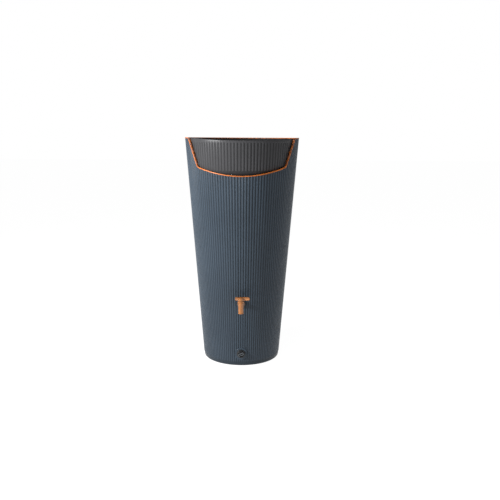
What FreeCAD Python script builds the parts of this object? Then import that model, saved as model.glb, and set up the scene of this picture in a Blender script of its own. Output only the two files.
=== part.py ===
import FreeCAD, Part
import math
import os
import Sketcher

# A free-standing rain barrel: a ribbed, upward-widening cone with a cut-out at the front of its rim, a
# lift-out planting bowl, a quarter-turn tap, a screwed drain plug and a hose inlet at the back.
# Millimetres. +Z is up, the origin is the centre of the base, and the front faces -Y.

SHEET_VALUES = [
    # barrel
    ("overall_height", 1150),
    ("rim_radius", 290),
    ("base_radius", 199),
    ("wall", 4),
    ("floor_thickness", 5),
    ("rib_depth", 3),
    ("rib_count", 120),
    ("rib_root", 0.4),
    ("base_band", 22),
    ("base_edge_radius", 10),
    # cut-out in the front of the rim; its corners are arcs about the corner centres
    ("cutout_drop", 180),
    ("corner_radius", 14),
    ("corner_centre_x", 202),
    ("corner_centre_drop", 130),
    ("side_spread", 0.34),
    ("above_rim", 50),
    # edge strip on the rim and round the cut-out
    ("strip_width", 3.5),
    ("strip_cap", 1.2),
    ("strip_proud", 0.8),
    ("strip_inner", 1.2),
    # ledge inside the barrel, just below the cut-out, that carries the bowl
    ("ledge_drop", 184.5),
    ("ledge_width", 18),
    ("ledge_thickness", 4),
    # planting bowl
    ("bowl_depth", 188),
    ("bowl_wall", 3),
    ("bowl_gap", 3),
    ("bowl_rib_depth", 2.5),
    ("bowl_rib_count", 108),
    ("bowl_edge_radius", 30),
    ("bowl_rim_drop", 3.5),
    ("bowl_band", 20),
    ("dip_half_width", 228),
    ("dip_depth", 10),
    # bowl drain
    ("bowl_boss_radius", 18),
    ("bowl_boss_depth", 8),
    ("bowl_plug_radius", 11),
    ("bowl_plug_head_radius", 16),
    ("bowl_plug_head", 6),
    ("bowl_plug_end", 2),
    ("bowl_seal_thickness", 2),
    # tap body
    ("tap_height", 336),
    ("tap_pad_face", 228),
    ("tap_pad_radius", 23),
    ("tap_inner_face", 214),
    ("tap_reach", 46),
    ("tap_shank_radius", 13.2),
    ("tap_shank_spare", 5),
    ("tap_tube_radius", 11),
    ("tap_way_radius", 7),
    ("tap_flange", 5),
    ("tap_flange_step", 5.3),
    ("spout_top_radius", 13.4),
    ("spout_bottom_radius", 12.6),
    ("spout_drop", 38),
    ("spout_lip", 5),
    ("spout_lip_step", 0.9),
    ("outlet_radius", 9),
    ("plug_seat_drop", 14),
    ("plug_bore_radius", 9.5),
    ("neck_rise", 16),
    ("neck_radius", 12),
    ("neck_length", 6),
    ("ring_radius", 15.5),
    ("ring_lip", 2.7),
    # tap plug and lever
    ("running_gap", 0.05),
    ("end_gap", 0.3),
    ("plug_port_radius", 5.5),
    ("groove_depth", 2.5),
    ("groove_width", 2.6),
    ("low_groove_rise", 1.9),
    ("high_groove_drop", 6),
    ("stem_radius", 5.5),
    ("stem_square", 8),
    ("square_gap", 0.2),
    ("hub_radius", 13.2),
    ("hub_top", 42),
    ("hub_gap", 0.5),
    ("socket_depth", 8.5),
    ("screw_bridge", 2.5),
    ("screw_radius", 1.8),
    ("screw_clearance_radius", 2.1),
    ("screw_head_radius", 4),
    ("screw_head", 3),
    ("recess_radius", 6),
    ("cap_seat_radius", 9.3),
    ("cap_radius", 9),
    ("cap_rise", 3.5),
    ("cap_spigot_radius", 5.9),
    ("lever_long", 42),
    ("lever_short", 29),
    ("lever_depth", 15),
    ("lever_thickness", 9),
    ("lever_bottom", 29.5),
    # washers, seals and nuts
    ("washer_thickness", 3),
    ("nut_thickness", 10),
    ("tap_nut_flats", 36),
    ("press_gap", 0.05),
    # drain
    ("drain_height", 68),
    ("drain_pad_face", 207.5),
    ("drain_pad_radius", 32),
    ("drain_inner_face", 193),
    ("drain_flange_radius", 21.5),
    ("drain_flange", 4),
    ("drain_tube_radius", 15),
    ("drain_tube_spare", 3),
    ("drain_thread_radius", 11),
    ("drain_head_radius", 17),
    ("drain_head", 9),
    ("drain_skirt", 2.8),
    ("drain_skirt_radius", 15),
    ("grip_depth", 4),
    ("grip_lean", 24),
    ("grip_width", 14),
    ("grip_slot", 6),
    ("drain_nut_flats", 42),
    # inlet at the back
    ("inlet_height", 918),
    ("inlet_pad_face", 275.5),
    ("inlet_pad_radius", 30),
    ("inlet_inner_face", 262),
    ("inlet_flange_radius", 23),
    ("inlet_flange", 4),
    ("inlet_tube_radius", 16.5),
    ("inlet_tube_spare", 4),
    ("inlet_nut_flats", 46),
    ("hose_radius", 12.5),
    ("hose_bore_radius", 10),
    ("hose_length", 24),
    ("hose_nose", 6),
    ("hose_nose_step", 1.2),
    ("inner_boss_radius", 26),
    ("seal_thickness", 2),
    ("seal_gap", 0.5),
    ("pass_gap", 0.6),
    ("chamfer", 1),
    ("overrun", 1),
    ("through", 60),
]

doc = FreeCAD.newDocument("rain_barrel")
sheet = doc.addObject("Spreadsheet::Sheet", "Sizes")
for row, (alias, number) in enumerate(SHEET_VALUES, start=1):
    sheet.set(f"A{row}", alias)
    sheet.set(f"B{row}", str(number))
    sheet.setAlias(f"B{row}", alias)
doc.recompute()


class Size:
    """A length that carries its number and the expression that binds it to the sheet."""

    def __init__(self, value, text):
        self.value = value
        self.text = text

    def __add__(self, other):
        other = as_size(other)
        return Size(self.value + other.value, f"({self.text} + {other.text})")

    def __radd__(self, other):
        return as_size(other) + self

    def __sub__(self, other):
        other = as_size(other)
        return Size(self.value - other.value, f"({self.text} - {other.text})")

    def __rsub__(self, other):
        return as_size(other) - self

    def __mul__(self, other):
        other = as_size(other)
        return Size(self.value * other.value, f"({self.text} * {other.text})")

    def __rmul__(self, other):
        return as_size(other) * self

    def __truediv__(self, other):
        other = as_size(other)
        return Size(self.value / other.value, f"({self.text} / {other.text})")


def as_size(number):
    if isinstance(number, Size):
        return number
    return Size(float(number), repr(float(number)))


def size(alias):
    return Size(float(sheet.get(alias)), f"Sizes.{alias}")


def bind(item, name, length):
    length = as_size(length)
    item.setExpression(name, length.text)


# Cone of the barrel wall: every rib runs towards the same apex, so a radius scales with the height.
HEIGHT = size("overall_height")
SPREAD = (size("rim_radius") - size("base_radius")) / HEIGHT
WALL_TOP = HEIGHT - size("strip_cap")
VALLEY_SHARE = 1 - size("rib_depth") / size("rim_radius")


def crest_radius(z):
    return size("base_radius") + SPREAD * z


def land_radius(z):
    return crest_radius(z) * VALLEY_SHARE


def inner_radius(z):
    return land_radius(z) - size("wall")


# The bowl stands on the ledge, close inside the barrel's wall and parallel to it.
LEDGE_TOP = HEIGHT - size("ledge_drop")
BOWL_TOP = HEIGHT - size("bowl_rim_drop")
BOWL_BOTTOM = HEIGHT - size("bowl_depth")
BOWL_SCALE = (inner_radius(BOWL_TOP) - size("bowl_gap")) / crest_radius(BOWL_TOP)
BOWL_VALLEY_SHARE = 1 - size("bowl_rib_depth") / size("rim_radius")


def bowl_crest_radius(z):
    return crest_radius(z) * BOWL_SCALE


def bowl_land_radius(z):
    return bowl_crest_radius(z) * BOWL_VALLEY_SHARE


def bowl_inner_radius(z):
    return bowl_land_radius(z) - size("bowl_wall")


def vector(x, y, z):
    return FreeCAD.Vector(x, y, z)


UPRIGHT = FreeCAD.Rotation()
TO_FRONT = FreeCAD.Rotation(vector(1, 0, 0), 90)
TO_BACK = FreeCAD.Rotation(vector(1, 0, 0), -90)


def place(item, x=0, y=0, z=0, turn=UPRIGHT):
    x, y, z = as_size(x), as_size(y), as_size(z)
    item.Placement = FreeCAD.Placement(vector(x.value, y.value, z.value), turn)
    bind(item, "Placement.Base.x", x)
    bind(item, "Placement.Base.y", y)
    bind(item, "Placement.Base.z", z)
    return item


def origin_plane(body, role):
    return next(item for item in body.Origin.OriginFeatures if item.Role == role)


def pin_point(sketch, segment, x, y, name):
    """Fixes the start of a segment at x, y with bound distances, or on an axis where one is zero."""
    for axis, kind, length in ((-2, "DistanceX", x), (-1, "DistanceY", y)):
        if length.value == 0:
            sketch.addConstraint(Sketcher.Constraint("PointOnObject", segment, 1, axis))
            continue
        label = f"{name}_{kind[-1].lower()}"
        number = sketch.addConstraint(Sketcher.Constraint(kind, -1, 1, segment, 1, length.value))
        sketch.renameConstraint(number, label)
        sketch.setExpression(f"Constraints.{label}", length.text)


def closed_profile(sketch, points):
    """Draws a closed outline of straight segments whose corners are bound to the sheet."""
    corners = [(as_size(x), as_size(y)) for x, y in points]
    count = len(corners)
    for index, (x, y) in enumerate(corners):
        next_x, next_y = corners[(index + 1) % count]
        start = vector(x.value, y.value, 0)
        end = vector(next_x.value, next_y.value, 0)
        sketch.addGeometry(Part.LineSegment(start, end), False)
    for index in range(count):
        sketch.addConstraint(Sketcher.Constraint("Coincident", index, 2, (index + 1) % count, 1))
    for index, (x, y) in enumerate(corners):
        pin_point(sketch, index, x, y, f"corner_{index}")


def turned(name, points):
    """A body turned about its own Z axis from a closed outline of (radius, height) corners."""
    body = doc.addObject("PartDesign::Body", name)
    sketch = body.newObject("Sketcher::SketchObject", f"{name}_profile")
    sketch.AttachmentSupport = (origin_plane(body, "XZ_Plane"), [""])
    sketch.MapMode = "FlatFace"
    closed_profile(sketch, points)
    revolution = body.newObject("PartDesign::Revolution", f"{name}_turn")
    revolution.Profile = sketch
    revolution.ReferenceAxis = (sketch, ["V_Axis"])
    revolution.Angle = 360
    body.Tip = revolution
    doc.recompute()
    return body


def ring(name, inner, outer, low, high):
    """A plain turned ring between two radii and two heights."""
    return turned(name, [(inner, low), (outer, low), (outer, high), (inner, high)])


def round_edges(body, radius, chosen):
    """Adds a fillet to the edges of the body's tip that the test picks."""
    base = body.Tip
    names = [f"Edge{number}" for number, edge in enumerate(base.Shape.Edges, start=1) if chosen(edge)]
    fillet = body.newObject("PartDesign::Fillet", f"{body.Name}_round_{len(body.Group)}")
    fillet.Base = (base, names)
    fillet.Radius = as_size(radius).value
    bind(fillet, "Radius", radius)
    body.Tip = fillet
    doc.recompute()


def circle_at(height, radius):
    """Picks a round edge at one height whose radius is nearly the one given."""

    def chosen(edge):
        if not hasattr(edge.Curve, "Radius"):
            return False
        level = abs(edge.BoundBox.ZMin - height) < 0.01 and abs(edge.BoundBox.ZMax - height) < 0.01
        return level and abs(edge.Curve.Radius - radius) < 0.01

    return chosen


def cylinder(name, radius, length):
    item = doc.addObject("Part::Cylinder", name)
    bind(item, "Radius", radius)
    bind(item, "Height", length)
    return item


def block(name, length, width, height):
    item = doc.addObject("Part::Box", name)
    bind(item, "Length", length)
    bind(item, "Width", width)
    bind(item, "Height", height)
    return item


def hexagon(name, flats, height):
    item = doc.addObject("Part::Prism", name)
    item.Polygon = 6
    bind(item, "Circumradius", flats / math.sqrt(3))
    bind(item, "Height", height)
    return item


def cut(name, base, tool):
    item = doc.addObject("Part::Cut", name)
    item.Base = base
    item.Tool = tool
    doc.recompute()
    return item


def fuse(name, pieces):
    item = doc.addObject("Part::MultiFuse", name)
    item.Shapes = pieces
    item.Refine = False
    doc.recompute()
    return item


def common(name, pieces):
    item = doc.addObject("Part::MultiCommon", name)
    item.Shapes = pieces
    doc.recompute()
    return item


def ribbed_cone(name, low, high, crest, share, count):
    """A solid frustum with straight trapezoid ribs that all run towards the apex of the barrel's cone."""
    pitch = 2 * math.pi / count
    root_share = share.value - (size("rib_root") / size("rim_radius")).value
    phases = ((-0.28, False), (-0.14, True), (0.14, True), (0.28, False))

    def outline(z):
        top = crest(z).value
        foot = top * root_share
        points = []
        for rib in range(count):
            for phase, raised in phases:
                angle = (rib + phase) * pitch
                radius = top if raised else foot
                points.append(vector(radius * math.cos(angle), radius * math.sin(angle), z.value))
        return points

    bottom, top = outline(low), outline(high)
    total = len(bottom)
    faces = [Part.Face(Part.makePolygon(bottom + bottom[:1])), Part.Face(Part.makePolygon(top + top[:1]))]
    for index in range(total):
        after = (index + 1) % total
        loop = [bottom[index], bottom[after], top[after], top[index], bottom[index]]
        faces.append(Part.Face(Part.makePolygon(loop)))
    item = doc.addObject("Part::Feature", name)
    item.Shape = Part.Solid(Part.Shell(faces))
    return item


def front_sketch(name):
    """A sketch in the upright plane through the axis, drawn in X and Z."""
    sketch = doc.addObject("Sketcher::SketchObject", name)
    sketch.Placement = FreeCAD.Placement(vector(0, 0, 0), TO_FRONT)
    return sketch


def dished_outline(name, corner_x, corner_z, lowest_z, top_x, top_z):
    """A closed outline with a hanging arc at the bottom, two straight sides and a straight top."""
    sketch = front_sketch(name)
    sag = corner_z - lowest_z
    radius = (corner_x * corner_x + sag * sag) / (2 * sag)
    centre = vector(0, (lowest_z + radius).value, 0)
    half_angle = math.asin(corner_x.value / radius.value)
    left_top = vector(-top_x.value, top_z.value, 0)
    left = vector(-corner_x.value, corner_z.value, 0)
    right = vector(corner_x.value, corner_z.value, 0)
    right_top = vector(top_x.value, top_z.value, 0)
    circle = Part.Circle(centre, vector(0, 0, 1), radius.value)
    down = -math.pi / 2
    arc = Part.ArcOfCircle(circle, down - half_angle, down + half_angle)
    for shape in (Part.LineSegment(left_top, left), arc, Part.LineSegment(right, right_top)):
        sketch.addGeometry(shape, False)
    sketch.addGeometry(Part.LineSegment(right_top, left_top), False)
    for first, second in ((0, 1), (1, 2), (2, 3), (3, 0)):
        sketch.addConstraint(Sketcher.Constraint("Coincident", first, 2, second, 1))
    sketch.addConstraint(Sketcher.Constraint("PointOnObject", 1, 3, -2))
    pin_point(sketch, 0, -1 * top_x, top_z, "left_top")
    pin_point(sketch, 2, corner_x, corner_z, "right")
    pin_point(sketch, 3, top_x, top_z, "right_top")
    number = sketch.addConstraint(Sketcher.Constraint("Radius", 1, radius.value))
    sketch.renameConstraint(number, "arc_radius")
    sketch.setExpression("Constraints.arc_radius", radius.text)
    doc.recompute()
    return sketch


def front_prism(name, sketch, grow=None):
    """Runs an upright outline out through the front, grown by a distance where one is given."""
    outline = sketch
    if grow is not None:
        outline = doc.addObject("Part::Offset2D", f"{name}_outline")
        outline.Source = sketch
        outline.Join = 0
        bind(outline, "Value", grow)
    prism = doc.addObject("Part::Extrusion", name)
    prism.Base = outline
    prism.DirMode = "Custom"
    prism.Dir = vector(0, -1, 0)
    prism.Solid = True
    prism.TaperAngle = 0
    bind(prism, "LengthFwd", size("rim_radius") * 1.2)
    doc.recompute()
    return prism


# ---------------------------------------------------------------- barrel


def cutout_sketch():
    corner_z = HEIGHT - size("corner_centre_drop")
    top_z = HEIGHT + size("above_rim")
    corner_x = size("corner_centre_x")
    top_x = corner_x + (top_z - corner_z) * size("side_spread")
    lowest = HEIGHT - size("cutout_drop") + size("corner_radius")
    return dished_outline("cutout_outline", corner_x, corner_z, lowest, top_x, top_z)


def flat_pad(name, radius, inner_face, outer_face, height, turn):
    pad = cylinder(name, radius, outer_face - inner_face)
    along = -1 * inner_face if turn is TO_FRONT else inner_face
    return place(pad, y=along, z=height, turn=turn)


def make_barrel_shell(cutout):
    core = turned("wall_and_floor", [
        (0, 0),
        (land_radius(as_size(0)), 0),
        (land_radius(WALL_TOP), WALL_TOP),
        (0, WALL_TOP),
    ])
    round_edges(core, size("base_edge_radius"), circle_at(0, land_radius(as_size(0)).value))
    rib_top = HEIGHT - size("strip_width")
    ribs = ribbed_cone("ribs", size("base_band"), rib_top, crest_radius, VALLEY_SHARE, int(size("rib_count").value))
    strip_zone = front_prism("strip_zone", cutout, size("corner_radius") + size("strip_width"))
    beyond = size("through")
    drain_in, drain_out = size("drain_inner_face"), size("drain_pad_face")
    tap_in, tap_out = size("tap_inner_face"), size("tap_pad_face")
    inlet_in, inlet_out = size("inlet_inner_face"), size("inlet_pad_face")
    drain_z, tap_z, inlet_z = size("drain_height"), size("tap_height"), size("inlet_height")
    clearings = [
        strip_zone,
        flat_pad("drain_zone", size("drain_pad_radius"), drain_in, drain_out + beyond, drain_z, TO_FRONT),
        flat_pad("tap_zone", size("tap_pad_radius"), tap_in, tap_out + beyond, tap_z, TO_FRONT),
        flat_pad("inlet_zone", size("inlet_pad_radius"), inlet_in, inlet_out + beyond, inlet_z, TO_BACK),
    ]
    trimmed_ribs = cut("trimmed_ribs", ribs, fuse("rib_clearings", clearings))
    pads = [
        flat_pad("drain_pad", size("drain_pad_radius"), drain_in, drain_out, drain_z, TO_FRONT),
        flat_pad("tap_pad", size("tap_pad_radius"), tap_in, tap_out, tap_z, TO_FRONT),
        flat_pad("inlet_pad", size("inlet_pad_radius"), inlet_in, inlet_out, inlet_z, TO_BACK),
    ]
    outside = fuse("outside", [core, trimmed_ribs] + pads)
    ledge_low = LEDGE_TOP - size("ledge_thickness")
    ledge_foot = ledge_low - size("ledge_width")
    over = HEIGHT + size("above_rim")
    cavity = turned("cavity", [
        (0, size("floor_thickness")),
        (inner_radius(size("floor_thickness")), size("floor_thickness")),
        (inner_radius(ledge_foot), ledge_foot),
        (inner_radius(ledge_low) - size("ledge_width"), ledge_low),
        (inner_radius(LEDGE_TOP) - size("ledge_width"), LEDGE_TOP),
        (inner_radius(LEDGE_TOP), LEDGE_TOP),
        (inner_radius(over), over),
        (0, over),
    ])
    hollow = cut("hollow", outside, cavity)
    boss, wall = size("inner_boss_radius"), size("wall")
    bosses = [
        flat_pad("drain_boss", boss, drain_in, drain_out - wall, drain_z, TO_FRONT),
        flat_pad("tap_boss", size("tap_pad_radius"), tap_in, tap_out - wall, tap_z, TO_FRONT),
        flat_pad("inlet_boss", boss, inlet_in, inlet_out - wall, inlet_z, TO_BACK),
    ]
    with_bosses = fuse("with_bosses", [hollow] + bosses)
    gap = size("pass_gap")
    holes = [
        flat_pad("drain_hole", size("drain_tube_radius") + gap, drain_in - beyond, drain_out + beyond,
                 drain_z, TO_FRONT),
        flat_pad("tap_hole", size("tap_shank_radius") + gap, tap_in - beyond, tap_out + beyond,
                 tap_z, TO_FRONT),
        flat_pad("inlet_hole", size("inlet_tube_radius") + gap, inlet_in - beyond, inlet_out + beyond,
                 inlet_z, TO_BACK),
        front_prism("cutout_prism", cutout, size("corner_radius")),
    ]
    openings = fuse("openings", holes)
    return cut("barrel_shell", with_bosses, openings)


def make_edge_trim(cutout, shell):
    low = HEIGHT - size("cutout_drop") - 5 * size("strip_width")
    proud = size("strip_proud")
    band = turned("strip_band", [
        (inner_radius(low) - size("strip_inner"), low),
        (crest_radius(low) + proud, low),
        (crest_radius(HEIGHT) + proud, HEIGHT),
        (inner_radius(HEIGHT) - size("strip_inner"), HEIGHT),
    ])
    reach = size("rim_radius") * 2.5
    slab = block("rim_zone", reach, reach, size("strip_width"))
    place(slab, x=reach / -2, y=reach / -2, z=HEIGHT - size("strip_width"))
    around = front_prism("around_cutout", cutout, size("corner_radius") + size("strip_width"))
    zone = fuse("strip_region", [slab, around])
    strip = common("strip_solid", [band, zone])
    open_way = front_prism("clear_way", cutout, size("corner_radius") - size("strip_cap"))
    taken = fuse("strip_cutters", [open_way, shell])
    return cut("edge_trim", strip, taken)


# ---------------------------------------------------------------- planting bowl


def make_planter_bowl():
    floor_top = BOWL_BOTTOM + size("bowl_wall")
    wall = turned("bowl_wall_and_floor", [
        (0, BOWL_BOTTOM),
        (bowl_land_radius(BOWL_BOTTOM), BOWL_BOTTOM),
        (bowl_land_radius(BOWL_TOP), BOWL_TOP),
        (bowl_inner_radius(BOWL_TOP), BOWL_TOP),
        (bowl_inner_radius(floor_top), floor_top),
        (0, floor_top),
    ])
    round_edges(wall, size("bowl_edge_radius"), circle_at(BOWL_BOTTOM.value, bowl_land_radius(BOWL_BOTTOM).value))
    inner_edge = size("bowl_edge_radius") - size("bowl_wall")
    round_edges(wall, inner_edge, circle_at(floor_top.value, bowl_inner_radius(floor_top).value))
    rib_low = BOWL_BOTTOM + size("bowl_edge_radius")
    band_low = BOWL_TOP - size("bowl_band")
    count = int(size("bowl_rib_count").value)
    ribs = ribbed_cone("bowl_ribs", rib_low, band_low + size("overrun"), bowl_crest_radius, BOWL_VALLEY_SHARE, count)
    half_wall = size("bowl_wall") / 2
    space_low = rib_low - size("overrun")
    space = turned("bowl_space", [
        (0, space_low),
        (bowl_inner_radius(space_low) + half_wall, space_low),
        (bowl_inner_radius(HEIGHT) + half_wall, HEIGHT),
        (0, HEIGHT),
    ])
    rib_skin = cut("bowl_rib_skin", ribs, space)
    band = turned("bowl_rim_band", [
        (bowl_inner_radius(band_low) + half_wall, band_low),
        (bowl_crest_radius(band_low), band_low),
        (bowl_crest_radius(BOWL_TOP), BOWL_TOP),
        (bowl_inner_radius(BOWL_TOP) + half_wall, BOWL_TOP),
    ])
    boss = cylinder("bowl_drain_boss", size("bowl_boss_radius"), size("bowl_boss_depth") + size("bowl_wall"))
    place(boss, z=BOWL_BOTTOM - size("bowl_boss_depth"))
    body = fuse("bowl_body", [wall, rib_skin, band, boss])
    half = size("dip_half_width")
    above = HEIGHT + size("above_rim")
    dip = dished_outline("dip_outline", half, BOWL_TOP, BOWL_TOP - size("dip_depth"), half + size("overrun"), above)
    hole = cylinder("bowl_drain_hole", size("bowl_plug_radius") + size("running_gap"), size("through"))
    place(hole, z=BOWL_BOTTOM - size("through") / 2)
    return cut("planter_bowl", body, fuse("bowl_cutters", [front_prism("dip_prism", dip), hole]))


def make_bowl_drain_plug():
    floor_top = BOWL_BOTTOM + size("bowl_wall")
    under_head = floor_top + size("bowl_seal_thickness")
    head_top = under_head + size("bowl_plug_head")
    cup_floor = head_top - size("grip_depth")
    thread_low = BOWL_BOTTOM - size("bowl_boss_depth")
    end = thread_low - size("bowl_plug_end")
    radius, head_radius = size("bowl_plug_radius"), size("bowl_plug_head_radius")
    cup_radius = head_radius - size("groove_depth")
    head = turned("bowl_plug_turned", [
        (0, end),
        (radius - size("chamfer"), end),
        (radius, thread_low),
        (radius, under_head),
        (head_radius, under_head),
        (head_radius, head_top),
        (cup_radius, head_top),
        (cup_radius, cup_floor),
        (0, cup_floor),
    ])
    bar = grip_bar("bowl_plug_grip", cup_radius + size("hub_gap"), size("grip_slot"), cup_floor)
    return fuse("bowl_drain_plug", [head, bar])


def grip_bar(name, half_length, width, cup_floor):
    """A straight finger bar across a cup-shaped plug head."""
    low = cup_floor - size("hub_gap")
    bar = block(name, half_length * 2, width, size("grip_depth") + size("hub_gap"))
    return place(bar, x=-1 * half_length, y=width / -2, z=low)


def make_bowl_plug_seal():
    floor_top = BOWL_BOTTOM + size("bowl_wall")
    gap = size("seal_gap")
    return ring("bowl_plug_seal", size("bowl_plug_radius") + gap, size("bowl_plug_head_radius") - gap,
                floor_top, floor_top + size("bowl_seal_thickness"))


# ---------------------------------------------------------------- tap

TAP_Z = size("tap_height")
SPOUT_Y = -1 * (size("tap_pad_face") + size("tap_reach"))
MOUTH = TAP_Z - size("spout_drop")
SEAT = TAP_Z - size("plug_seat_drop")
NECK_LOW = TAP_Z + size("neck_rise")
NECK_TOP = NECK_LOW + size("neck_length")
RING_TOP = NECK_TOP + size("end_gap") + size("ring_lip")
HUB_LOW = RING_TOP + size("hub_gap")
HUB_TOP = TAP_Z + size("hub_top")
SOCKET_TOP = HUB_LOW + size("socket_depth")
SCREW_SEAT = SOCKET_TOP + size("screw_bridge")


def make_tap_body():
    chamfer = size("chamfer")
    lip_radius = size("spout_bottom_radius") + size("spout_lip_step")
    lip_top = MOUTH + size("spout_lip")
    upright = turned("tap_upright", [
        (0, MOUTH),
        (lip_radius - chamfer, MOUTH),
        (lip_radius, MOUTH + chamfer),
        (lip_radius, lip_top - chamfer),
        (size("spout_bottom_radius"), lip_top),
        (size("spout_top_radius"), NECK_LOW - chamfer),
        (size("spout_top_radius") - chamfer, NECK_LOW),
        (size("neck_radius"), NECK_LOW),
        (size("neck_radius"), NECK_TOP),
        (0, NECK_TOP),
    ])
    place(upright, y=SPOUT_Y)
    pad, axis = size("tap_pad_face"), size("tap_pad_face") + size("tap_reach")
    flange_low = pad + size("washer_thickness")
    flange_top = flange_low + size("tap_flange")
    flange_radius = size("tap_shank_radius") + size("tap_flange_step")
    shank_end = size("tap_inner_face") - size("washer_thickness") - size("nut_thickness") - size("tap_shank_spare")
    shank = turned("tap_shank", [
        (0, shank_end),
        (size("tap_shank_radius") - chamfer, shank_end),
        (size("tap_shank_radius"), shank_end + chamfer),
        (size("tap_shank_radius"), flange_low),
        (flange_radius, flange_low),
        (flange_radius, flange_top - chamfer),
        (flange_radius - chamfer, flange_top),
        (size("tap_tube_radius"), flange_top),
        (size("tap_tube_radius"), axis),
        (0, axis),
    ])
    place(shank, z=TAP_Z, turn=TO_FRONT)
    solid = fuse("tap_casting", [upright, shank])
    overrun = size("overrun")
    bore = cylinder("plug_bore", size("plug_bore_radius"), NECK_TOP - SEAT + overrun)
    place(bore, y=SPOUT_Y, z=SEAT)
    outlet = cylinder("outlet_bore", size("outlet_radius"), SEAT - MOUTH + overrun * 2)
    place(outlet, y=SPOUT_Y, z=MOUTH - overrun)
    way = cylinder("tap_way", size("tap_way_radius"), axis - shank_end + overrun)
    place(way, y=-1 * (shank_end - overrun), z=TAP_Z, turn=TO_FRONT)
    ways = fuse("tap_ways", [bore, outlet, way])
    return cut("tap_body", solid, ways)


def make_tap_plug():
    radius = size("plug_bore_radius") - size("running_gap")
    groove = radius - size("groove_depth")
    width = size("groove_width")
    low_groove = SEAT + size("low_groove_rise")
    high_groove = NECK_TOP - size("high_groove_drop")
    turned_plug = turned("plug_turned", [
        (0, SEAT + size("end_gap")),
        (radius, SEAT + size("end_gap")),
        (radius, low_groove),
        (groove, low_groove),
        (groove, low_groove + width),
        (radius, low_groove + width),
        (radius, high_groove),
        (groove, high_groove),
        (groove, high_groove + width),
        (radius, high_groove + width),
        (radius, NECK_TOP),
        (size("stem_radius"), NECK_TOP),
        (size("stem_radius"), HUB_LOW),
        (0, HUB_LOW),
    ])
    place(turned_plug, y=SPOUT_Y)
    side = size("stem_square")
    square = block("plug_square", side, side, SOCKET_TOP - HUB_LOW - size("end_gap"))
    place(square, x=side / -2, y=SPOUT_Y - side / 2, z=HUB_LOW)
    blank = fuse("plug_blank", [turned_plug, square])
    port, overrun = size("plug_port_radius"), size("overrun")
    side_port = cylinder("side_port", port, size("through"))
    place(side_port, y=SPOUT_Y, z=TAP_Z, turn=FreeCAD.Rotation(vector(0, 1, 0), -90))
    down_port = cylinder("down_port", port, TAP_Z - SEAT + overrun)
    place(down_port, y=SPOUT_Y, z=SEAT - overrun)
    pilot = cylinder("screw_pilot", size("screw_radius") + size("press_gap"), size("through"))
    place(pilot, y=SPOUT_Y, z=HUB_LOW + overrun)
    return cut("tap_plug", blank, fuse("plug_ports", [side_port, down_port, pilot]))


def make_plug_o_rings():
    half_groove = size("groove_width") / 2
    rings = []
    low_middle = SEAT + size("low_groove_rise") + half_groove
    high_middle = NECK_TOP - size("high_groove_drop") + half_groove
    for name, middle in (("low_o_ring", low_middle), ("high_o_ring", high_middle)):
        torus = doc.addObject("Part::Torus", name)
        bind(torus, "Radius1", size("plug_bore_radius") - size("groove_depth") / 2)
        bind(torus, "Radius2", half_groove - size("press_gap") * 2)
        rings.append(place(torus, y=SPOUT_Y, z=middle))
    group = doc.addObject("Part::Compound", "plug_o_rings")
    group.Links = rings
    return group


def make_tap_retaining_ring():
    chamfer = size("chamfer")
    inner = size("neck_radius") + size("press_gap")
    over_neck = NECK_TOP + size("end_gap")
    way = size("stem_radius") + size("hub_gap")
    body = turned("tap_retaining_ring", [
        (inner, NECK_LOW),
        (size("ring_radius"), NECK_LOW),
        (size("ring_radius"), RING_TOP - chamfer),
        (size("ring_radius") - chamfer, RING_TOP),
        (way, RING_TOP),
        (way, over_neck),
        (inner, over_neck),
    ])
    return place(body, y=SPOUT_Y)


def make_tap_handle():
    hub = cylinder("handle_hub", size("hub_radius"), HUB_TOP - HUB_LOW)
    place(hub, y=SPOUT_Y, z=HUB_LOW)
    thick = size("lever_thickness")
    low = TAP_Z + size("lever_bottom")
    straight = size("lever_long") + size("lever_short") - thick
    arm = block("handle_arm", straight, thick, size("lever_depth"))
    place(arm, x=thick / 2 - size("lever_short"), y=SPOUT_Y - thick / 2, z=low)
    ends = []
    for name, at in (("short_end", thick / 2 - size("lever_short")), ("long_end", size("lever_long") - thick / 2)):
        end = cylinder(name, thick / 2, size("lever_depth"))
        ends.append(place(end, x=at, y=SPOUT_Y, z=low))
    solid = fuse("handle_solid", [hub, arm] + ends)
    side, overrun = size("stem_square") + size("square_gap"), size("overrun")
    socket = block("handle_socket", side, side, SOCKET_TOP - HUB_LOW + overrun)
    place(socket, x=side / -2, y=SPOUT_Y - side / 2, z=HUB_LOW - overrun)
    screw_way = cylinder("handle_screw_way", size("screw_clearance_radius"), size("through"))
    place(screw_way, y=SPOUT_Y, z=SOCKET_TOP - overrun)
    recess = cylinder("handle_recess", size("recess_radius"), size("through"))
    place(recess, y=SPOUT_Y, z=SCREW_SEAT)
    cap_seat = cylinder("cap_seat", size("cap_seat_radius"), size("through"))
    place(cap_seat, y=SPOUT_Y, z=HUB_TOP)
    return cut("tap_handle", solid, fuse("handle_ways", [socket, screw_way, recess, cap_seat]))


def make_handle_screw():
    chamfer = size("chamfer")
    low = HUB_LOW + size("screw_bridge")
    head_top = SCREW_SEAT + size("screw_head")
    body = turned("handle_screw", [
        (0, low),
        (size("screw_radius"), low),
        (size("screw_radius"), SCREW_SEAT),
        (size("screw_head_radius"), SCREW_SEAT),
        (size("screw_head_radius"), head_top - chamfer),
        (size("screw_head_radius") - chamfer, head_top),
        (0, head_top),
    ])
    return place(body, y=SPOUT_Y)


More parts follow.
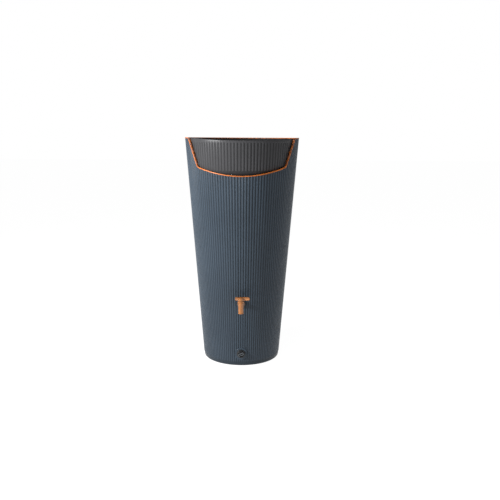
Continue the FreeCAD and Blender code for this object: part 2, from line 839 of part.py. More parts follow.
def make_handle_cap():
    rise, radius, overrun = size("cap_rise"), size("cap_radius"), size("overrun")
    ball_radius = (radius * radius + rise * rise) / (2 * rise)
    ball = doc.addObject("Part::Sphere", "cap_ball")
    bind(ball, "Radius", ball_radius)
    place(ball, y=SPOUT_Y, z=HUB_TOP + rise - ball_radius)
    disc = cylinder("cap_disc", radius + overrun, rise + overrun)
    place(disc, y=SPOUT_Y, z=HUB_TOP)
    dome = common("cap_dome", [ball, disc])
    spigot = cylinder("cap_spigot", size("cap_spigot_radius"), overrun * 1.5)
    place(spigot, y=SPOUT_Y, z=HUB_TOP - overrun)
    return fuse("handle_cap", [dome, spigot])


def make_tap_outer_washer():
    pad = size("tap_pad_face")
    gap = size("end_gap")
    outer = size("tap_shank_radius") + size("tap_flange_step") + gap
    body = ring("tap_outer_washer", size("tap_shank_radius") + gap, outer, pad, pad + size("washer_thickness"))
    return place(body, z=TAP_Z, turn=TO_FRONT)


def make_tap_inner_washer():
    face = size("tap_inner_face")
    outer = size("tap_nut_flats") / 2 + size("chamfer")
    body = ring("tap_inner_washer", size("tap_shank_radius") + size("end_gap"), outer,
                face - size("washer_thickness"), face)
    return place(body, z=TAP_Z, turn=TO_FRONT)


def make_nut(name, flats, bore_radius, face, height, turn):
    """A hexagon nut whose outer face lies against a wall at the given distance from the axis."""
    thickness = size("nut_thickness")
    low = face - thickness
    along = -1 * low if turn is TO_FRONT else low
    blank = hexagon(f"{name}_blank", flats, thickness)
    place(blank, y=along, z=height, turn=turn)
    bore = cylinder(f"{name}_bore", bore_radius, thickness * 3)
    bore_start = -1 * (low - thickness) if turn is TO_FRONT else low - thickness
    place(bore, y=bore_start, z=height, turn=turn)
    return cut(name, blank, bore)


# ---------------------------------------------------------------- drain plug

DRAIN_Z = size("drain_height")
DRAIN_FLANGE_LOW = size("drain_pad_face") + size("seal_thickness")
DRAIN_FACE = DRAIN_FLANGE_LOW + size("drain_flange")


def make_drain_bushing():
    end = size("drain_inner_face") - size("nut_thickness") - size("drain_tube_spare")
    bore = size("drain_thread_radius") + size("running_gap")
    tube = size("drain_tube_radius") - size("press_gap")
    body = turned("drain_bushing", [
        (bore, end),
        (tube, end),
        (tube, DRAIN_FLANGE_LOW),
        (size("drain_flange_radius"), DRAIN_FLANGE_LOW),
        (size("drain_flange_radius"), DRAIN_FACE - size("chamfer")),
        (size("drain_flange_radius") - size("chamfer"), DRAIN_FACE),
        (bore, DRAIN_FACE),
    ])
    return place(body, z=DRAIN_Z, turn=TO_FRONT)


def make_drain_seal():
    inner = size("drain_tube_radius") + size("seal_gap")
    outer = size("drain_flange_radius") - size("chamfer")
    body = ring("drain_seal", inner, outer, size("drain_pad_face"), DRAIN_FLANGE_LOW)
    return place(body, z=DRAIN_Z, turn=TO_FRONT)


def make_drain_plug():
    chamfer = size("chamfer")
    end = size("drain_inner_face") - size("grip_depth")
    head_face = DRAIN_FACE + size("drain_head")
    cup_floor = head_face - size("grip_depth")
    head_radius, skirt = size("drain_head_radius"), DRAIN_FACE + size("drain_skirt")
    cup_radius = head_radius - size("groove_depth")
    head = turned("drain_plug_turned", [
        (0, end),
        (size("drain_thread_radius") - chamfer, end),
        (size("drain_thread_radius"), end + chamfer),
        (size("drain_thread_radius"), skirt),
        (size("drain_skirt_radius"), skirt),
        (size("drain_skirt_radius"), DRAIN_FACE),
        (head_radius, DRAIN_FACE),
        (head_radius, head_face - chamfer),
        (head_radius - chamfer, head_face),
        (cup_radius, head_face),
        (cup_radius, cup_floor),
        (0, cup_floor),
    ])
    half_length = cup_radius + size("hub_gap")
    bar = grip_bar("drain_plug_bar", half_length, size("grip_width"), cup_floor)
    slot_length = size("grip_width") * 1.5
    slot = block("drain_plug_slot", slot_length, size("grip_slot"), size("grip_depth") + size("overrun"))
    place(slot, x=slot_length / -2, y=size("grip_slot") / -2, z=cup_floor)
    plug = cut("drain_plug", fuse("drain_plug_blank", [head, bar]), slot)
    lean = TO_FRONT.multiply(FreeCAD.Rotation(vector(0, 0, 1), size("grip_lean").value))
    return place(plug, z=DRAIN_Z, turn=lean)


def make_drain_plug_o_ring():
    torus = doc.addObject("Part::Torus", "drain_plug_o_ring")
    half_skirt = size("drain_skirt") / 2
    bind(torus, "Radius1", (size("drain_thread_radius") + size("drain_skirt_radius")) / 2)
    bind(torus, "Radius2", half_skirt - size("press_gap"))
    return place(torus, y=-1 * (DRAIN_FACE + half_skirt), z=DRAIN_Z, turn=TO_FRONT)


# ---------------------------------------------------------------- inlet

INLET_Z = size("inlet_height")


def make_inlet_spigot():
    chamfer = size("chamfer")
    face = size("inlet_pad_face") + size("seal_thickness")
    end = size("inlet_inner_face") - size("nut_thickness") - size("inlet_tube_spare")
    flange_top = face + size("inlet_flange")
    nose = flange_top + size("hose_length")
    tip = nose + size("hose_nose")
    tube = size("inlet_tube_radius") - size("press_gap")
    body = turned("inlet_spigot", [
        (size("hose_bore_radius"), end),
        (tube, end),
        (tube, face),
        (size("inlet_flange_radius"), face),
        (size("inlet_flange_radius"), flange_top - chamfer),
        (size("inlet_flange_radius") - chamfer, flange_top),
        (size("hose_radius"), flange_top),
        (size("hose_radius"), nose),
        (size("hose_radius") - size("hose_nose_step"), tip),
        (size("hose_bore_radius"), tip),
    ])
    return place(body, z=INLET_Z, turn=TO_BACK)


def make_inlet_seal():
    face = size("inlet_pad_face")
    inner = size("inlet_tube_radius") + size("seal_gap")
    outer = size("inlet_flange_radius") - size("chamfer")
    body = ring("inlet_seal", inner, outer, face, face + size("seal_thickness"))
    return place(body, z=INLET_Z, turn=TO_BACK)


cutout = cutout_sketch()
barrel_shell = make_barrel_shell(cutout)
parts = [
    barrel_shell,
    make_edge_trim(cutout, barrel_shell),
    make_planter_bowl(),
    make_bowl_drain_plug(),
    make_bowl_plug_seal(),
    make_tap_body(),
    make_tap_plug(),
    make_plug_o_rings(),
    make_tap_retaining_ring(),
    make_tap_handle(),
    make_handle_screw(),
    make_handle_cap(),
    make_tap_outer_washer(),
    make_tap_inner_washer(),
    make_nut("tap_locknut", size("tap_nut_flats"), size("tap_shank_radius") + size("press_gap"),
             size("tap_inner_face") - size("washer_thickness"), TAP_Z, TO_FRONT),
    make_drain_bushing(),
    make_drain_seal(),
    make_nut("drain_nut", size("drain_nut_flats"), size("drain_tube_radius"),
             size("drain_inner_face"), DRAIN_Z, TO_FRONT),
    make_drain_plug(),
    make_drain_plug_o_ring(),
    make_inlet_spigot(),
    make_inlet_seal(),
    make_nut("inlet_nut", size("inlet_nut_flats"), size("inlet_tube_radius"),
             size("inlet_inner_face"), INLET_Z, TO_BACK),
]
doc.recompute()

failed = [item.Name for item in doc.Objects if "Invalid" in item.State or "Error" in item.State]
if failed:
    raise SystemExit(f"failed features: {failed}")
for part in parts:
    part.Label = part.Name
    if part.Shape.isNull() or not part.Shape.isValid():
        raise SystemExit(f"bad shape: {part.Name}")

os.makedirs("parts", exist_ok=True)
for part in parts:
    part.Shape.exportStep(f"parts/{part.Label}.step")
    box = part.Shape.BoundBox
    print(f"{part.Label}: {len(part.Shape.Solids)} solid, {part.Shape.Volume / 1000:.1f} cm3, "
          f"x {box.XMin:.1f} {box.XMax:.1f}, y {box.YMin:.1f} {box.YMax:.1f}, z {box.ZMin:.1f} {box.ZMax:.1f}")
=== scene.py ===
import math

import bmesh
import bpy
from mathutils import Matrix, Vector


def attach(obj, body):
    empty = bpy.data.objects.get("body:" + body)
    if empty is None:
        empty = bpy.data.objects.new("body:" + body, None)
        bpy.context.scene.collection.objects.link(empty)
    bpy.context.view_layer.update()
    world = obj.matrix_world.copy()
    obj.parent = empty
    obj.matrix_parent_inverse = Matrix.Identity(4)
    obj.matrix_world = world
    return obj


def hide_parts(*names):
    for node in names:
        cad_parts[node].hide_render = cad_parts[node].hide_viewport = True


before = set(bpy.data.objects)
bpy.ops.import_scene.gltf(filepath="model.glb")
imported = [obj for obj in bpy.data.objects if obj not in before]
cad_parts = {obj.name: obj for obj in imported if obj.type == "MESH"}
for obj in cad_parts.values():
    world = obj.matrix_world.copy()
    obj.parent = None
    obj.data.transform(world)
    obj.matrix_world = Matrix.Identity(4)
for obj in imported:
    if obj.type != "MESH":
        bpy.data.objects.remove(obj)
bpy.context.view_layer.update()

# A rain barrel: a ribbed graphite cone with a copper edge strip, a grey planting bowl, a copper tap
# and a dark drain plug. Metres. +Z is up, the origin is the centre of the base, the front faces -Y.

MM = 0.001

# Barrel wall, a cone whose ribs all run towards one apex
HEIGHT = 1150 * MM
RIM_RADIUS = 290 * MM
BASE_RADIUS = 199 * MM
SPREAD = (RIM_RADIUS - BASE_RADIUS) / HEIGHT
RIB_DEPTH = 3 * MM
RIB_COUNT = 120
RIB_SHARE = RIB_DEPTH / RIM_RADIUS
WALL = 4 * MM
FLOOR = 5 * MM
WALL_TOP = HEIGHT - 1.2 * MM

# Cut-out in the front of the rim
CORNER_X = 202 * MM
CORNER_Z = HEIGHT - 130 * MM
CORNER_ROUND = 14 * MM
CUTOUT_LOW = HEIGHT - 180 * MM
SIDE_SPREAD = 0.34

# Fittings
DRAIN_Z, TAP_Z, INLET_Z = 68 * MM, 336 * MM, 918 * MM

# Planting bowl
BOWL_RIBS = 108
BOWL_BOTTOM = HEIGHT - 188 * MM
BOWL_TOP = HEIGHT - 3.5 * MM
BOWL_BAND = BOWL_TOP - 20 * MM
LEDGE = HEIGHT - 184.5 * MM
BOWL_WALL = 3 * MM
DIP_HALF_WIDTH = 228 * MM
DIP_LOW = BOWL_TOP - 10 * MM


def crest(z):
    return BASE_RADIUS + SPREAD * z


def land(z):
    return crest(z) * (1 - RIB_SHARE)


def inner(z):
    return land(z) - WALL


BOWL_SCALE = (inner(BOWL_TOP) - 3 * MM) / crest(BOWL_TOP)
BOWL_RIB_SHARE = 2.5 * MM / RIM_RADIUS


def bowl_crest(z):
    return crest(z) * BOWL_SCALE


def bowl_inner(z):
    return bowl_crest(z) * (1 - BOWL_RIB_SHARE) - BOWL_WALL


# ------------------------------------------------------------------ modelling helpers


def pick(*pieces):
    """Leaves only these objects selected, with the first one active."""
    bpy.ops.object.select_all(action="DESELECT")
    for piece in pieces:
        piece.select_set(True)
    bpy.context.view_layer.objects.active = pieces[0]


def edit(piece):
    pick(piece)
    bpy.ops.object.mode_set(mode="EDIT")
    bpy.ops.mesh.select_all(action="SELECT")


def done():
    bpy.ops.object.mode_set(mode="OBJECT")


def choose(test):
    """Selects the vertices of the mesh in edit mode whose places pass the test."""
    mesh = bmesh.from_edit_mesh(bpy.context.object.data)
    for vertex in mesh.verts:
        vertex.select_set(test(vertex.co))
    mesh.select_flush_mode()
    bmesh.update_edit_mesh(bpy.context.object.data)


class Tower:
    """A solid of revolution grown ring by ring: each step extrudes the last ring and scales it."""

    # Depth of each column of one rib pitch, from the bottom of the groove over the flat crest and back
    GROOVE = (1.0, 0.9, 0.3, 0.04, 0.0, 0.04, 0.3, 0.9)

    def __init__(self, name, columns, radius, height):
        bpy.ops.object.select_all(action="DESELECT")
        bpy.ops.mesh.primitive_circle_add(vertices=columns, radius=radius, fill_type="NOTHING")
        self.piece = bpy.context.object
        self.piece.name = name
        edit(self.piece)
        bpy.ops.transform.translate(value=(0, 0, height))
        self.columns = columns
        self.radius, self.height = radius, height
        self.fluted = 0.0

    def to(self, radius, height):
        rise = {"value": (0, 0, height - self.height)}
        bpy.ops.mesh.extrude_region_move(TRANSFORM_OT_translate=rise)
        factor = radius / self.radius
        bpy.ops.transform.resize(value=(factor, factor, 1), center_override=(0, 0, height))
        self.radius, self.height = radius, height
        return self

    def along(self, corners):
        for radius, height in corners:
            self.to(radius, height)
        return self

    def flute(self, share):
        """Presses grooves into the last ring: share is the groove depth over the radius."""
        turn = 2 * math.pi / self.columns
        phases = len(self.GROOVE)
        for phase, groove in enumerate(self.GROOVE):
            if groove == 0:
                continue

            def on_phase(place):
                column = round(math.atan2(place.y, place.x) / turn)
                return abs(place.z - self.height) < 1e-6 and column % phases == phase

            choose(on_phase)
            factor = (1 - share * groove) / (1 - self.fluted * groove)
            bpy.ops.transform.resize(value=(factor, factor, 1), center_override=(0, 0, self.height))
        choose(lambda place: abs(place.z - self.height) < 1e-6)
        self.fluted = share
        return self

    def finish(self, closed=False):
        """Ends the tower: with faces on its open ends, or by joining the last ring to the first."""
        if closed:
            bpy.ops.mesh.select_all(action="SELECT")
            bpy.ops.mesh.select_non_manifold(extend=False, use_wire=False)
            bpy.ops.mesh.bridge_edge_loops()
        else:
            bpy.ops.mesh.select_all(action="DESELECT")
            bpy.ops.mesh.select_non_manifold(extend=False, use_wire=False)
            bpy.ops.mesh.edge_face_add()
        bpy.ops.mesh.select_all(action="SELECT")
        bpy.ops.mesh.normals_make_consistent(inside=False)
        done()
        return self.piece


def turned(name, columns, corners, closed=False):
    """A turned solid from (radius, height) corners; closed joins the last corner to the first."""
    tower = Tower(name, columns, *corners[0])
    tower.along(corners[1:])
    return tower.finish(closed)


def stand(piece, place=(0, 0, 0), tilt=None):
    """Turns and moves a piece made at the origin, and applies its place."""
    pick(piece)
    if tilt is not None:
        piece.matrix_world = Matrix.Translation(place) @ tilt.to_4x4()
    else:
        piece.matrix_world = Matrix.Translation(place)
    bpy.ops.object.transform_apply(location=True, rotation=True, scale=True)
    return piece


TO_FRONT = Matrix.Rotation(math.radians(90), 3, "X")
TO_BACK = Matrix.Rotation(math.radians(-90), 3, "X")


def carve(piece, *tools, how="DIFFERENCE"):
    """Cuts the tools out of a piece, or joins them to it, and removes them."""
    for tool in tools:
        pick(piece)
        modifier = piece.modifiers.new("carve", "BOOLEAN")
        modifier.operation = how
        modifier.solver = "EXACT"
        modifier.object = tool
        bpy.ops.object.modifier_apply(modifier=modifier.name)
        bpy.data.objects.remove(tool, do_unlink=True)
    return piece


def soften(piece, width, segments=2, angle=35):
    """Rounds a piece's sharp edges."""
    pick(piece)
    modifier = piece.modifiers.new("soften", "BEVEL")
    modifier.width = width
    modifier.segments = segments
    modifier.limit_method = "ANGLE"
    modifier.angle_limit = math.radians(angle)
    modifier.harden_normals = False
    bpy.ops.object.modifier_apply(modifier=modifier.name)
    return piece


def smooth(piece, angle=35):
    pick(piece)
    bpy.ops.object.shade_smooth_by_angle(angle=math.radians(angle))
    return piece


def block(name, low, high):
    bpy.ops.object.select_all(action="DESELECT")
    bpy.ops.mesh.primitive_cube_add(size=1)
    piece = bpy.context.object
    piece.name = name
    low, high = Vector(low), Vector(high)
    piece.matrix_world = Matrix.Translation((low + high) / 2) @ Matrix.Diagonal((*(high - low), 1))
    bpy.ops.object.transform_apply(location=True, rotation=True, scale=True)
    return piece


def settle(piece, body, slot, finish, *nodes):
    """Gives a finished piece its material and its body, and hides the CAD nodes that it stands for."""
    piece.data.materials.clear()
    piece.data.materials.append(finish)
    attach(piece, body)
    if nodes:
        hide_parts(*nodes)
    return piece


# ------------------------------------------------------------------ finishes


class Number:
    """A shader value; arithmetic on it adds Math nodes."""

    def __init__(self, finish, socket):
        self.finish = finish
        self.socket = socket

    def maths(self, operation, *others):
        return self.finish.node("ShaderNodeMath", {"operation": operation}, self, *others)

    def __add__(self, other):
        return self.maths("ADD", other)

    __radd__ = __add__

    def __mul__(self, other):
        return self.maths("MULTIPLY", other)

    __rmul__ = __mul__

    def __sub__(self, other):
        return self.maths("SUBTRACT", other)

    def __rsub__(self, other):
        return self.finish.node("ShaderNodeMath", {"operation": "SUBTRACT"}, other, self)

    def __truediv__(self, other):
        return self.maths("DIVIDE", other)

    def __pow__(self, other):
        return self.maths("POWER", other)

    def clamp(self):
        return self.finish.node("ShaderNodeClamp", {}, self)

    def ramp(self, low, high, start=0.0, end=1.0):
        """Runs from start to end as this value goes from low to high, and stays there."""
        return self.finish.node("ShaderNodeMapRange", {"interpolation_type": "SMOOTHSTEP"}, self, low, high,
                                start, end)


class Finish:
    """A procedural material; what varies over the surface is linked, the rest sits on the shader."""

    def __init__(self, name, colour, roughness, **constants):
        self.material = bpy.data.materials.new(name)
        self.material.use_nodes = True
        self.tree = self.material.node_tree
        self.shader = self.tree.nodes["Principled BSDF"]
        self.set("Base Color", (*colour, 1))
        self.set("Roughness", roughness)
        for socket, value in constants.items():
            self.set(socket.replace("_", " "), value)
        self.colour = colour
        self.place = self.node("ShaderNodeTexCoord", {}, output="Object")
        parts = self.tree.nodes.new("ShaderNodeSeparateXYZ")
        self.tree.links.new(self.place.socket, parts.inputs[0])
        self.x, self.y, self.z = (Number(self, parts.outputs[axis]) for axis in range(3))

    def set(self, socket, value):
        if isinstance(value, Number):
            self.tree.links.new(value.socket, self.shader.inputs[socket])
        else:
            self.shader.inputs[socket].default_value = value

    def node(self, kind, settings, *sockets, output=0, **named):
        """Adds one node: its settings first, then the values or links of its sockets."""
        node = self.tree.nodes.new(kind)
        for name, value in settings.items():
            setattr(node, name, value)
        wanted = [(node.inputs[index], value) for index, value in enumerate(sockets)]
        wanted += [(node.inputs[name.replace("_", " ")], value) for name, value in named.items()]
        for socket, value in wanted:
            if isinstance(value, Number):
                self.tree.links.new(value.socket, socket)
            elif value is not None:
                socket.default_value = value
        return Number(self, node.outputs[output])

    def stretched(self, x, y, z):
        """Object coordinates scaled per axis, for streaks and long grain."""
        return self.node("ShaderNodeMapping", {"vector_type": "POINT"}, Vector=self.place, Scale=(x, y, z))

    def noise(self, scale, detail=3.0, roughness=0.55, at=None):
        return self.node("ShaderNodeTexNoise", {"noise_dimensions": "3D"}, Vector=at or self.place,
                         Scale=scale, Detail=detail, Roughness=roughness)

    def mix(self, factor, first, second):
        """Blends two colours, given as triples or links."""
        node = self.tree.nodes.new("ShaderNodeMix")
        node.data_type = "RGBA"
        for socket, value in ((node.inputs[0], factor), (node.inputs[6], first), (node.inputs[7], second)):
            if isinstance(value, Number):
                self.tree.links.new(value.socket, socket)
            elif isinstance(value, tuple):
                socket.default_value = (*value, 1)
            else:
                socket.default_value = value
        return Number(self, node.outputs[2])

    def tint(self, factor):
        return tuple(min(1.0, channel * factor) for channel in self.colour)

    def bump(self, height, distance, strength=1.0):
        bumped = self.node("ShaderNodeBump", {}, Strength=strength, Distance=distance, Height=height)
        self.set("Normal", bumped)


def ribbed_plastic(name, colour, scale, share, roughness):
    """Moulded plastic on a ribbed cone: the grooves are painted darker as painted shade, and the rib crests
    are rubbed smooth.
    """
    finish = Finish(name, colour, roughness, Specular_IOR_Level=0.2)
    radius = (finish.x ** 2 + finish.y ** 2) ** 0.5
    outer = (finish.z * SPREAD + BASE_RADIUS) * scale
    depth = (1 - radius / outer) / share
    groove = depth.ramp(0.15, 1.0)
    cloud = finish.noise(3.5, 4.0, 0.6)
    streak = finish.noise(1.0, 4.0, 0.6, at=finish.stretched(60, 60, 1.6)).ramp(0.45, 0.75)
    grain = finish.noise(900, 2.0, 0.5)
    speck = finish.noise(230, 2.0, 0.6).ramp(0.66, 0.74)
    tone = finish.mix(cloud.ramp(0.3, 0.7), finish.tint(0.9), finish.tint(1.12))
    # Painted shade: the grooves are darkened towards a deep tint where shade falls in them; the streaks
    # mixed in are dirt.
    tone = finish.mix((groove * 0.75 + streak * 0.12).clamp(), tone, finish.tint(0.42))
    tone = finish.mix(speck * 0.25, tone, finish.tint(1.8))
    finish.set("Base Color", tone)
    finish.set("Roughness", (roughness + groove * 0.14 + (cloud - 0.5) * 0.12 + streak * 0.06).clamp())
    finish.bump(grain * 0.7 + cloud * 0.3, 0.00012, 0.5)
    return finish.material


def copper_plastic(name, colour, roughness, metallic, coat):
    """Copper-coloured coating: slight orange-peel, rubbed patches and darker cloudy stains."""
    finish = Finish(name, colour, roughness, Metallic=metallic, Coat_Weight=coat, Coat_Roughness=0.12)
    cloud = finish.noise(45, 3.0, 0.6)
    peel = finish.noise(520, 2.0, 0.5)
    rub = finish.noise(160, 3.0, 0.65, at=finish.stretched(1, 1, 0.35)).ramp(0.55, 0.7)
    tone = finish.mix(cloud.ramp(0.35, 0.7), finish.tint(0.82), finish.tint(1.08))
    tone = finish.mix(rub * 0.3, tone, finish.tint(1.35))
    # Painted shade: the tap's flange is darkened almost to black where it sits against the barrel wall.
    flange_wall_shade = finish.y.ramp(-240 * MM, -236 * MM) * finish.z.ramp(420 * MM, 400 * MM)
    tone = finish.mix(flange_wall_shade * 0.75, tone, finish.tint(0.2))
    finish.set("Base Color", tone)
    finish.set("Roughness", (roughness + (cloud - 0.5) * 0.15 + rub * 0.1).clamp())
    finish.bump(peel, 0.00006, 0.5)
    return finish.material


def dark_plastic(name, colour, roughness):
    """Moulded technical plastic with a fine spark-eroded grain and pale scuffs."""
    finish = Finish(name, colour, roughness)
    grain = finish.noise(1400, 2.0, 0.6)
    scuff = finish.noise(210, 4.0, 0.7).ramp(0.6, 0.72)
    cloud = finish.noise(30, 2.0, 0.5)
    tone = finish.mix(cloud.ramp(0.3, 0.7), finish.tint(0.8), finish.tint(1.25))
    tone = finish.mix(scuff * 0.35, tone, finish.tint(3.2))
    finish.set("Base Color", tone)
    finish.set("Roughness", (roughness + scuff * 0.12 + (grain - 0.5) * 0.1).clamp())
    finish.bump(grain, 0.0001, 0.6)
    return finish.material


def worn_plug(name, colour, roughness):
    """Plastic whose grip is rubbed pale, with painted shade: near black in the recesses and round the head.
    """
    finish = Finish(name, colour, roughness)
    grain = finish.noise(1400, 2.0, 0.6)
    scuff = finish.noise(210, 4.0, 0.7).ramp(0.55, 0.72)
    radius = (finish.x ** 2 + (finish.z - DRAIN_Z) ** 2) ** 0.5
    # Painted shade: everything behind the plug's face and the ring round its head is painted near black.
    behind = finish.y.ramp(-222.4 * MM, -220.6 * MM)
    recess_shade = (behind + radius.ramp(13.6 * MM, 14.6 * MM)).clamp()
    tone = finish.mix(scuff * 0.3, finish.tint(1.0), finish.tint(1.6))
    finish.set("Base Color", finish.mix(recess_shade * 0.97, tone, (0.006, 0.007, 0.009)))
    finish.set("Roughness", (roughness + scuff * 0.12 + (grain - 0.5) * 0.1 + recess_shade * 0.2).clamp())
    finish.bump(grain, 0.0001, 0.6)
    return finish.material


def rubber(name, colour):
    """Soft black rubber with a chalky bloom."""
    finish = Finish(name, colour, 0.7)
    bloom = finish.noise(120, 4.0, 0.7).ramp(0.5, 0.8)
    finish.set("Base Color", finish.mix(bloom * 0.3, finish.tint(1.0), finish.tint(4.0)))
    finish.set("Roughness", 0.62 + bloom * 0.25)
    finish.bump(finish.noise(800, 2.0, 0.5), 0.00008, 0.5)
    return finish.material


def turned_steel(name, colour):
    """Stainless steel with fine turning marks round an upright axis."""
    finish = Finish(name, colour, 0.3, Metallic=1.0)
    marks = finish.noise(40, 3.0, 0.6, at=finish.stretched(1, 1, 90))
    finish.set("Base Color", finish.mix(marks.ramp(0.35, 0.65), finish.tint(0.8), finish.tint(1.1)))
    finish.set("Roughness", 0.22 + marks * 0.2)
    finish.bump(marks, 0.00003, 0.4)
    return finish.material


GRAPHITE = ribbed_plastic("graphite_shell", (0.036, 0.051, 0.069), 1.0, RIB_SHARE, 0.26)
BOWL_GREY = ribbed_plastic("bowl_grey", (0.044, 0.044, 0.047), BOWL_SCALE, BOWL_RIB_SHARE, 0.4)
STRIP_COPPER = copper_plastic("copper_strip", (0.5, 0.125, 0.008), 0.5, 0.0, 0.0)
TAP_COPPER = copper_plastic("copper_tap", (0.36, 0.122, 0.016), 0.22, 0.3, 0.8)
BLACK_PLASTIC = dark_plastic("black_plastic", (0.018, 0.019, 0.021), 0.42)
PLUG_PLASTIC = worn_plug("plug_plastic", (0.07, 0.078, 0.088), 0.42)
BLACK_RUBBER = rubber("black_rubber", (0.014, 0.014, 0.015))
WHITE_ACETAL = dark_plastic("white_acetal", (0.62, 0.61, 0.57), 0.3)
STEEL = turned_steel("stainless_steel", (0.62, 0.61, 0.6))


# ------------------------------------------------------------------ barrel


def arc_points(centre, radius, start, end, steps):
    """Points on an arc in the front elevation, from one angle to another in degrees."""
    points = []
    for step in range(steps + 1):
        angle = math.radians(start + (end - start) * step / steps)
        points.append((centre[0] + radius * math.cos(angle), centre[1] + radius * math.sin(angle)))
    return points


def cutout_outline(grow):
    """The right half of the cut-out's edge, in X and Z, from its middle up to beyond the rim."""
    low = CUTOUT_LOW + CORNER_ROUND
    sag = CORNER_Z - low
    radius = (CORNER_X ** 2 + sag ** 2) / (2 * sag)
    centre = (0, low + radius)
    reach = math.degrees(math.asin(CORNER_X / radius))
    offset = CORNER_ROUND + grow
    points = arc_points(centre, radius + offset, -90, -90 + reach, 24)
    side = math.degrees(math.atan2(-SIDE_SPREAD, 1))
    points += arc_points((CORNER_X, CORNER_Z), offset, -90 + reach, side, 8)[1:]
    return points


def cutout_edge(grow, top):
    """The whole cut-out edge from left to right, its sides run up to a height."""
    points = cutout_outline(grow)
    x, z = points[-1]
    points.append((x + SIDE_SPREAD * (top - z), top))
    return [(-x, z) for x, z in reversed(points)] + points[1:]


def front_prism(name, outline, near, far):
    """An upright outline in X and Z run from one distance in front of the axis to another."""
    mesh = bpy.data.meshes.new(name)
    mesh.from_pydata([(x, -near, z) for x, z in outline], [], [tuple(range(len(outline)))])
    piece = bpy.data.objects.new(name, mesh)
    bpy.context.collection.objects.link(piece)
    edit(piece)
    bpy.ops.mesh.extrude_region_move(TRANSFORM_OT_translate={"value": (0, near - far, 0)})
    bpy.ops.mesh.select_all(action="SELECT")
    bpy.ops.mesh.normals_make_consistent(inside=False)
    done()
    return piece


def disc(name, radius, start, end, z, tilt, columns=64, round_off=0.0):
    """A cylinder through the wall between two distances from the axis, its far edge rounded off."""
    corners = [(radius, start)]
    for step in range(5 if round_off else 1):
        angle = math.radians(90 * step / 4) if round_off else 0
        corners.append((radius - round_off * (1 - math.cos(angle)), end - round_off * (1 - math.sin(angle))))
    return stand(turned(name, columns, corners), (0, 0, z), tilt)


def make_barrel():
    columns = RIB_COUNT * len(Tower.GROOVE)
    edge = 10 * MM
    foot = land(0) - edge
    tower = Tower("barrel", columns, foot, 0)
    for step in range(1, 6):
        angle = math.radians(90 * step / 5)
        z = edge * (1 - math.cos(angle))
        tower.to(foot + edge * math.sin(angle) + SPREAD * z, z)
    tower.to(land(22 * MM), 22 * MM)
    tower.to(crest(26 * MM), 26 * MM).flute(RIB_SHARE)
    tower.to(crest(WALL_TOP), WALL_TOP)
    barrel = tower.finish()
    pads = [
        disc("drain_pad", 32 * MM, 193 * MM, 207.5 * MM, DRAIN_Z, TO_FRONT, round_off=1.5 * MM),
        disc("tap_pad", 23 * MM, 214 * MM, 228 * MM, TAP_Z, TO_FRONT, round_off=1 * MM),
        disc("inlet_pad", 30 * MM, 262 * MM, 275.5 * MM, INLET_Z, TO_BACK, round_off=1.5 * MM),
    ]
    carve(barrel, *pads, how="UNION")
    width = 18 * MM
    under = LEDGE - 4 * MM
    over = HEIGHT + 50 * MM
    floor_round = 6 * MM
    corners = [(inner(FLOOR) - floor_round, FLOOR)]
    for step in range(1, 5):
        angle = math.radians(90 * step / 4)
        rise = floor_round * (1 - math.cos(angle))
        corners.append((inner(FLOOR + rise) - floor_round * (1 - math.sin(angle)), FLOOR + rise))
    corners += [
        (inner(under - width), under - width),
        (inner(under) - width, under),
        (inner(LEDGE) - width, LEDGE),
        (inner(LEDGE), LEDGE + 0.01 * MM),
        (inner(over), over),
    ]
    carve(barrel, turned("cavity", 240, corners))
    bosses = [
        disc("drain_boss", 26 * MM, 193 * MM, 203 * MM, DRAIN_Z, TO_FRONT),
        disc("tap_boss", 22.9 * MM, 214 * MM, 224 * MM, TAP_Z, TO_FRONT),
        disc("inlet_boss", 26 * MM, 262 * MM, 271 * MM, INLET_Z, TO_BACK),
    ]
    carve(barrel, *bosses, how="UNION")
    holes = [
        disc("drain_hole", 15.6 * MM, 150 * MM, 250 * MM, DRAIN_Z, TO_FRONT),
        disc("tap_hole", 13.8 * MM, 150 * MM, 250 * MM, TAP_Z, TO_FRONT),
        disc("inlet_hole", 17.1 * MM, 200 * MM, 300 * MM, INLET_Z, TO_BACK),
        front_prism("front_cutout", cutout_edge(0, HEIGHT + 50 * MM), 0, 340 * MM),
    ]
    carve(barrel, *holes)
    smooth(barrel, 40)
    return settle(barrel, "barrel", "graphite_shell", GRAPHITE, "barrel_shell")


